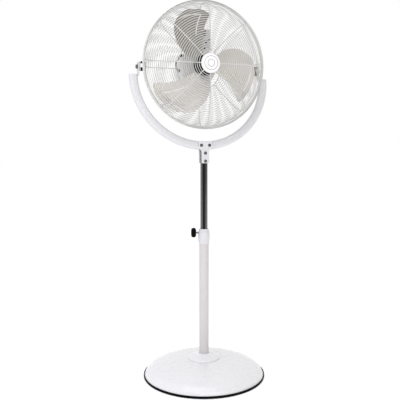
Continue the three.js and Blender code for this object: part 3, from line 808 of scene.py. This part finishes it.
def spoke(curve, number):
    """Wire that follows the guard outline in one half plane through the fan's axis."""
    angle = TAU * number / SPOKES
    out = Vector((math.cos(angle), 0, math.sin(angle)))
    path = [HEAD + out * p.x + Vector((0, p.y, 0)) for p in curve]
    return sweep(path, circle(SPOKE_WIRE, 10), out.cross(Vector(BACKWARD)))


def stay(curve, side, level):
    """Level wire on the inside of the rear guard, at a height from the fan axis."""
    path = [HEAD + Vector((side * math.sqrt(p.x**2 - level**2), p.y - 2 * SPOKE_WIRE, level))
            for p in curve[::3] if p.x > EYE_R]
    return free_sweep(path, SPOKE_WIRE, 10)


def guards():
    curve = outline_curve(FRONT_OUTLINE)
    parts = [wire_ring(GUARD_R, FRONT_RIM_Y, RIM_WIRE, 192, 12), *fine_rings(curve, 7 * MM)]
    parts += [spoke(curve, i) for i in range(SPOKES)]
    disc = [(0, 1.5 * MM), (HUB_DISC_R, 1.5 * MM), (HUB_DISC_R, -1 * MM), (0, -1 * MM)]
    parts.append(moved(lathe(rounded(disc, 0.6 * MM, 3, False), 96, False), on_axis(GUARD_FRONT)))
    finish(build("front_wire_guard", parts, 60), "head", WIRE, "guard_wire", "front_guard")

    curve = outline_curve(REAR_OUTLINE)
    parts = [wire_ring(GUARD_R, REAR_RIM_Y, RIM_WIRE, 192, 12), wire_ring(EYE_R, GUARD_REAR, EYE_WIRE),
             *fine_rings(curve, 8 * MM)]
    # level stays take the place of the level spokes, and run from the strap to the pivot clamps
    parts += [spoke(curve, i) for i in range(SPOKES) if i % 4]
    parts += [stay(curve, side, level) for side in (-1, 1) for level in STAY_LEVELS]
    finish(build("rear_wire_guard", parts, 60), "head", WIRE, "guard_wire", "rear_guard")

    lo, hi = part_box("guard_band")
    inner = GUARD_R + RIM_WIRE + GAP
    outer = hi.x
    y0, y1 = lo.y, hi.y
    profile = [(inner, y0), (outer - 0.5 * MM, y0 - 0.3 * MM), (outer, y0 + 1.5 * MM),
               (outer - 0.7 * MM, y0 + 4 * MM), (outer - 0.7 * MM, y1 - 4 * MM), (outer, y1 - 1.5 * MM),
               (outer - 0.5 * MM, y1 + 0.3 * MM), (inner, y1)]
    band = moved(lathe(rounded(profile, 0.8 * MM), 256), on_axis(0))
    finish(build("joint_band", [band], 50), "head", WIRE, "guard_wire", "guard_band")


def rim_clip():
    """Clip on the inside of the front rim at its top, held by two small screws."""
    r = GUARD_R - RIM_WIRE - 1.5 * MM
    mid = FRONT_RIM_Y + 1 * MM
    start, span, steps = 84.2, 7.4, 24

    def spot(degrees, y):
        a = math.radians(degrees)
        return HEAD + Vector((r * math.cos(a), y, r * math.sin(a)))

    arc = [spot(start + span * i / steps, mid) for i in range(steps + 1)]
    saddle = build("rim_clip", [sweep(arc, oval(4.4 * MM, 11 * MM, 1.2 * MM, 4), BACKWARD)], 50)
    finish(saddle, "head", BADGE_WHITE, "badge_plastic")
    screws = [screw_head(aim(FORWARD, spot(degrees, mid - 5.3 * MM)), 2.1 * MM, 1.6 * MM)
              for degrees in (85, 90.8)]
    finish(build("rim_clip_screws", screws), "head", DARK_STEEL, "dark_steel")


BADGE_RINGS = (13 * MM, 25.5 * MM)


def badge():
    lo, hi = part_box("guard_badge")
    r, depth = hi.x, hi.y - lo.y
    floor = depth - 0.5 * MM
    half, slope = 0.7 * MM, 0.3 * MM
    profile = [(0, depth)]
    for ring_r in BADGE_RINGS:
        profile += [(ring_r - half - slope, depth), (ring_r - half, floor), (ring_r + half, floor),
                    (ring_r + half + slope, depth)]
    profile += [(28 * MM, depth), (32.5 * MM, depth - 1.2 * MM), (r - 0.4 * MM, depth - 3.4 * MM), (r, 0),
                (0, 0)]
    place = on_axis(hi.y, FORWARD)
    disc = moved(lathe(rounded(profile, 0.5 * MM, 3, False), 128, False), place)
    finish(build("centre_badge", [disc], 40), "head", BADGE_WHITE, "badge_plastic", "guard_badge")
    # fine dark rings lie in the grooves
    half, top = 0.6 * MM, floor + 0.15 * MM
    rings = []
    for ring_r in BADGE_RINGS:
        flat = [(ring_r - half, floor), (ring_r + half, floor), (ring_r + half, top), (ring_r - half, top)]
        rings.append(moved(lathe(flat, 128), place))
    finish(build("badge_rings", rings), "head", BLACK_PAINT, "black_paint")


# ------------------------------------------------------------------ motor


def end_bell(name, node, outward, vented):
    """Motor end bell as a turned sheet, thickened; a vented one has slots in its end wall."""
    lo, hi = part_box(node)
    end = lo.y if outward < 0 else hi.y
    depth = hi.y - lo.y
    r = MOTOR_R
    inner_slot, outer_slot = 26 * MM, 60 * MM
    slot_row, slot_pitch, slot_width = 3, 6, 3  # row of faces, then steps round the bell
    # heights run from the end wall towards the split line
    profile = [(8 * MM, 0.0), (20 * MM, 0.0), (22 * MM, 1.2 * MM), (inner_slot, 1.2 * MM),
               (outer_slot, 1.2 * MM), (r - 9 * MM, 1.6 * MM), (r - 3.4 * MM, 3.6 * MM),
               (r - 0.9 * MM, 8 * MM), (r - 0.6 * MM, depth * 0.5), (r, depth * 0.55), (r, depth)]
    segments = 96
    points, faces = lathe(profile, segments, False)
    if vented:
        faces = [face for i, face in enumerate(faces)
                 if i // segments != slot_row or i % segments % slot_pitch >= slot_width]
    obj = build(name, [moved((points, faces), on_axis(end, (0, -outward, 0)))], 40)
    solidify(obj, 2.2 * MM, -1)
    bevel(obj, 0.4 * MM, 2, 50)
    finish(obj, "head", GREY, "grey_paint", node)


# nuts and small screws on the front of the strap: x, height from the fan axis and radius, in mm
STRAP_FIXINGS = ((24, 143, 5.6), (24, 129, 5.6), (42, 110, 4.2), (25, 75, 4), (30, 99, 4), (-25, 75, 4),
                 (-30, 99, 4), (-42, 110, 4.2))


def motor():
    end_bell("motor_front_bell", "motor_front_shell", -1, False)
    end_bell("motor_rear_bell", "motor_rear_shell", 1, True)
    # heads of the four through bolts, on the rear bell
    bolt_circle = 66 * MM
    for i in range(4):
        a = TAU * (i + 0.5) / 4
        spot = HEAD + Vector((math.cos(a) * bolt_circle, MOTOR_BACK - 2.4 * MM, math.sin(a) * bolt_circle))
        head = screw_head(aim(BACKWARD, spot), 3.6 * MM, 2.6 * MM)
        finish(build(f"bell_screw_{i + 1}", [head]), "head", STEEL, "plain_steel")
    split = (high("motor_front_shell").y + low("motor_rear_shell").y) / 2
    inner, outer, half = MOTOR_R - 1 * MM, MOTOR_R + 1.2 * MM, 1.6 * MM
    ring = [(inner, split - half), (outer, split - half), (outer, split + half), (inner, split + half)]
    seam = moved(lathe(rounded(ring, 0.6 * MM), 128), on_axis(0))
    finish(build("motor_seam", [seam]), "head", GREY, "grey_paint")
    fixings = []
    for x, z, size in STRAP_FIXINGS:
        place = aim(FORWARD, HEAD + Vector((x * MM, STRAP_FRONT, z * MM)))
        fixings.append(screw_head(place, size * MM, 0.7 * size * MM))
    finish(build("strap_fixings", fixings), "head", BLACK_PAINT, "black_paint")


def speed_dial():
    mid = centre("speed_knob")
    place = aim(BACKWARD, (mid.x, MOTOR_BACK, mid.z))
    flute_count, flute_depth = 18, 0.035

    def flutes(angle, r, h):
        if r < 11 * MM or h < 2 * MM:
            return r
        return r * (1 - flute_depth * (0.5 + 0.5 * math.cos(flute_count * angle)))

    profile = [(0, 1 * MM), (15 * MM, 1 * MM), (15 * MM, 2.2 * MM), (14 * MM, 3 * MM),
               (13.4 * MM, 12 * MM), (12.4 * MM, 13.6 * MM), (0, 14 * MM)]
    grip = moved(lathe(rounded(profile, 0.8 * MM, 4, False), 144, False, flutes), place)
    bar_outline = oval(24 * MM, 4.6 * MM, 2.2 * MM, 6)
    bar = plate([(y, x) for x, y in bar_outline], 3 * MM)
    bar = moved(bar, aim(BACKWARD, (mid.x, MOTOR_BACK + 13.6 * MM, mid.z)))
    finish(build("speed_dial", [grip, bar]), "speed_control", BLACK, "black_plastic", "speed_knob")
    # flat ring round the knob, with a plain tick for each of its four settings
    scale = [(15.6 * MM, -0.2 * MM), (20 * MM, -0.2 * MM), (20 * MM, 0.5 * MM), (15.6 * MM, 0.5 * MM)]
    ring = moved(lathe(rounded(scale, 0.2 * MM), 96), place)
    finish(build("dial_ring", [ring]), "head", BLACK, "black_plastic")
    start, end, half = 16.5 * MM, 19.1 * MM, 0.4 * MM
    tick = plate([(start, -half), (end, -half), (end, half), (start, half)], 0.2 * MM)
    raised = place @ Matrix.Translation((0, 0, 0.45 * MM))
    ticks = [moved(tick, raised @ Matrix.Rotation(math.radians(90 + 45 * i), 4, "Z")) for i in range(4)]
    finish(build("dial_ticks", ticks), "head", GLOSS_WHITE, "badge_plastic")


def gland():
    mid = centre("cable_gland")
    nut = [(4 * MM, 0), (9 * MM, 0), (9 * MM, 7 * MM), (7.6 * MM, 8.4 * MM), (7.2 * MM, 9 * MM),
           (6.6 * MM, 12 * MM), (5.4 * MM, 14 * MM), (4 * MM, 14 * MM)]

    def nut_flats(angle, r, h):
        return min(r, hexagonal(angle, 8.2 * MM)) if r > 8 * MM else r

    body = lathe(rounded(nut, 0.5 * MM), 96, True, nut_flats)
    body = moved(body, aim(BACKWARD, (mid.x, MOTOR_BACK, mid.z)))
    finish(build("gland_nut", [body]), "head", BLACK, "black_plastic", "cable_gland")


def motor_lead():
    """Short lead beside the motor, on the same route as its CAD solid, with a grommet at each end."""
    route = [(-58.5, 48.5), (-69, 43), (-82, 26), (-88, 6), (-85, -8), (-73.8, -16.5)]
    path = smooth([Vector((x * MM, 80 * MM, z * MM)) + HEAD for x, z in route], 10)
    finish(build("lead_loop", [free_sweep(path, 2.9 * MM, 16)], 60), "head", RUBBER, "lead_rubber",
           "motor_lead")
    outline = [(0, 0), (6 * MM, 0), (6 * MM, 4 * MM), (4.6 * MM, 6 * MM), (4.2 * MM, 12 * MM),
               (0, 12 * MM)]
    sleeve = lathe(rounded(outline, 0.8 * MM, 3, False), 32, False)
    ends = [moved(sleeve, aim(toward - start, start))
            for start, toward in ((path[1], path[9]), (path[-2], path[-10]))]
    finish(build("lead_grommets", ends), "head", RUBBER, "lead_rubber")


# ------------------------------------------------------------------ impeller

BLADE_COUNT = 3
BLADE_ROOT = 39.4 * MM
BLADE_TIP = 216 * MM
BLADE_ANGLE = 353.4
BLADE_SHEET = 1.5 * MM
BOWED_CUT, STRAIGHT_CUT = 24 * MM, 14 * MM
PANEL_DEPTH = 2.5 * MM
BEAD_DEPTH = 1.5 * MM
BEAD_INSET = 5 * MM
PANEL_TO_EDGE, PANEL_FLARE = 24, 10
PANEL_TO_TIP = 17 * MM
RIB_WIRE = 1.8 * MM
RIB_PROUD = 1.4 * MM
RIB_START, RIB_END = 118 * MM, 0.86
RIVET_ROW = 0.07


def ease(value):
    t = max(0.0, min(1.0, value))
    return t * t * (3 - 2 * t)


def blade_share(r):
    """How far a radius is from a blade's root (0) to its tip (1)."""
    return (r - BLADE_ROOT) / (BLADE_TIP - BLADE_ROOT)


def tip_radius(s):
    """Radius of a blade's tip, which is cut back towards both of its edges."""
    return BLADE_TIP - BOWED_CUT * max(0.0, 2 * s - 1) ** 3 - STRAIGHT_CUT * max(0.0, 1 - s / 0.4) ** 2


def blade_edges(u):
    """Angles in degrees of a blade's straight and bowed edges, from its own direction."""
    return -20 - 16 * u**1.4 + 1.5 * math.sin(math.pi * u), 51 - 43 * u**1.6


def bead(distance, spread):
    """Height of the raised bead at a distance inside the panel's outline."""
    return BEAD_DEPTH * math.exp(-((distance - BEAD_INSET) / spread) ** 2)


def blade_point(direction, row, s):
    """Point of a blade's middle surface: row from root to tip, s from straight edge to bowed edge."""
    r = BLADE_ROOT + (tip_radius(s) - BLADE_ROOT) * row
    u = blade_share(r)
    straight, bowed = blade_edges(u)
    width = math.radians(bowed - straight) * r
    angle = math.radians(direction + straight + (bowed - straight) * s)
    rear = 4 + 32 * u**1.6
    front = -26 + 10 * u - 12 * math.sin(math.pi * u)
    y = (rear + (front - rear) * s + 7 * (1 - (2 * s - 1) ** 2) * u) * MM
    # pressed panel with a crease along the straight edge and a bead along the tip, fading towards the root
    from_edge = s * width - (PANEL_TO_EDGE + PANEL_FLARE * u) * MM
    from_tip = BLADE_TIP - r - PANEL_TO_TIP
    fade = ease((u - 0.3) / 0.25) * ease(((1 - s) * width - 12 * MM) / (30 * MM))
    inside = ease(from_edge / (4 * MM))
    y -= PANEL_DEPTH * fade * inside * ease(from_tip / (6 * MM))
    y -= fade * inside * bead(from_tip, 2.6 * MM)
    y -= fade * ease(from_tip / (4 * MM)) * bead(from_edge, 2.8 * MM)
    return Vector((r * math.cos(angle), y, r * math.sin(angle)))


def rib_path(direction):
    """Line of a blade's pressed rib: out beside the straight edge, then along the tip."""
    def place(r, s):
        row = (r - BLADE_ROOT) / (tip_radius(s) - BLADE_ROOT)
        return blade_point(direction, row, s) + HEAD + Vector((0, -RIB_PROUD, 0))

    def beside_edge(r):
        u = blade_share(r)
        straight, bowed = blade_edges(u)
        inset = (PANEL_TO_EDGE + PANEL_FLARE * u) * MM + BEAD_INSET
        return inset / (math.radians(bowed - straight) * r)

    outer = BLADE_TIP - PANEL_TO_TIP - BEAD_INSET
    radii = [RIB_START + (outer - RIB_START) * i / 30 for i in range(31)]
    corner = beside_edge(outer)
    return [*[place(r, beside_edge(r)) for r in radii],
            *[place(outer, corner + (RIB_END - corner) * i / 36) for i in range(1, 37)]]


def impeller():
    rows, columns = 110, 110
    for k in range(BLADE_COUNT):
        direction = BLADE_ANGLE + 360 / BLADE_COUNT * k
        points = [blade_point(direction, i / rows, j / columns) + HEAD
                  for i in range(rows + 1) for j in range(columns + 1)]
        wide = columns + 1
        faces = [[i * wide + j, i * wide + j + 1, (i + 1) * wide + j + 1, (i + 1) * wide + j]
                 for i in range(rows) for j in range(columns)]
        obj = build(f"fan_blade_{k + 1}", [(points, faces)], 60)
        solidify(obj, BLADE_SHEET, 0)
        finish(obj, "rotor", ALUMINIUM, "blade_aluminium", f"blade_{k + 1}")
        # round rib along the bead, in a paler material that paints the bead's highlight
        rib = free_sweep(rib_path(direction), RIB_WIRE, 12)
        finish(build(f"blade_rib_{k + 1}", [rib], 60), "rotor", RIB_HIGHLIGHT, "blade_aluminium")
        # domed rivets along the root, with a head on each face
        dome = [(0, 1.9 * MM), (1.6 * MM, 1.6 * MM), (2.9 * MM, 0.7 * MM), (3.2 * MM, 0),
                (3.2 * MM, -0.6 * MM)]
        rivets = []
        for s in (0.2, 0.4, 0.6, 0.8):
            spot = blade_point(direction, RIVET_ROW, s) + HEAD
            along = blade_point(direction, RIVET_ROW + 0.01, s) + HEAD - spot
            across = blade_point(direction, RIVET_ROW, s + 0.01) + HEAD - spot
            face = along.cross(across).normalized()
            for out in (face, -face):
                rivets.append(moved(lathe(dome, 24, False), aim(out, spot + out * BLADE_SHEET / 2)))
        finish(build(f"blade_rivets_{k + 1}", rivets), "rotor", STEEL, "plain_steel")

    lo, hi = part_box("fan_hub")
    depth, r = hi.y - lo.y, hi.z - FAN_AXIS_Z
    profile = [(6 * MM, 0), (14 * MM, 0), (15 * MM, 2 * MM), (30 * MM, 1.2 * MM), (r - 2.5 * MM, 3 * MM),
               (r, 7 * MM), (r, depth - 1 * MM), (r - 3 * MM, depth), (r - 3 * MM, 8 * MM),
               (13 * MM, 6 * MM), (13 * MM, depth - 6 * MM), (6 * MM, depth - 6 * MM)]
    hub = moved(lathe(rounded(profile, 1.2 * MM), 128), on_axis(lo.y))
    finish(build("impeller_hub", [hub]), "rotor", BLACK, "black_plastic", "fan_hub")


# ------------------------------------------------------------------ CAD nodes that stay

# material of each CAD node that is shown as it is
KEPT = {
    "base_weight": IRON, "tube_plug": STEEL, "base_tie_bolt": STEEL, "clamp_shoe": BRASS,
    "guide_bush": BLACK, "pivot_tab_left": WHITE, "pivot_tab_right": WHITE,
    "pivot_clamp_left": BLACK_PAINT, "pivot_clamp_right": BLACK_PAINT, "pivot_plate_left": WIRE,
    "pivot_plate_right": WIRE, "motor_strap": GREY, "strap_bolt_upper": STEEL,
    "strap_bolt_lower": STEEL, "front_bearing": STEEL, "rear_bearing": STEEL,
    "stator_core": LAMINATION, "stator_winding": COPPER, "run_capacitor": BLACK,
    "switch_body": BLACK, "motor_shaft": STEEL, "rotor_core": LAMINATION, "hub_nut": STEEL,
}
# and the bevel in mm of those that have sharp edges
BEVELLED = {
    "base_weight": 1.5, "base_tie_bolt": 0.6, "pivot_tab_left": 0.7, "pivot_tab_right": 0.7,
    "pivot_clamp_left": 0.6, "pivot_clamp_right": 0.6, "pivot_plate_left": 0.5,
    "pivot_plate_right": 0.5, "motor_strap": 0.8, "strap_bolt_upper": 0.5, "strap_bolt_lower": 0.5,
    "run_capacitor": 1.5, "switch_body": 0.8, "hub_nut": 0.6,
}


def kept_nodes():
    for name, material in KEPT.items():
        obj = frame["nodes"][name]
        obj.data.materials.clear()
        obj.data.materials.append(material)
        if name in BEVELLED:
            bevel(obj, BEVELLED[name] * MM, 2, 30)


camera()
studio()
base()
stand()
height_knob()
neck()
yoke()
pivots()
guards()
rim_clip()
badge()
motor()
speed_dial()
gland()
motor_lead()
impeller()
kept_nodes()
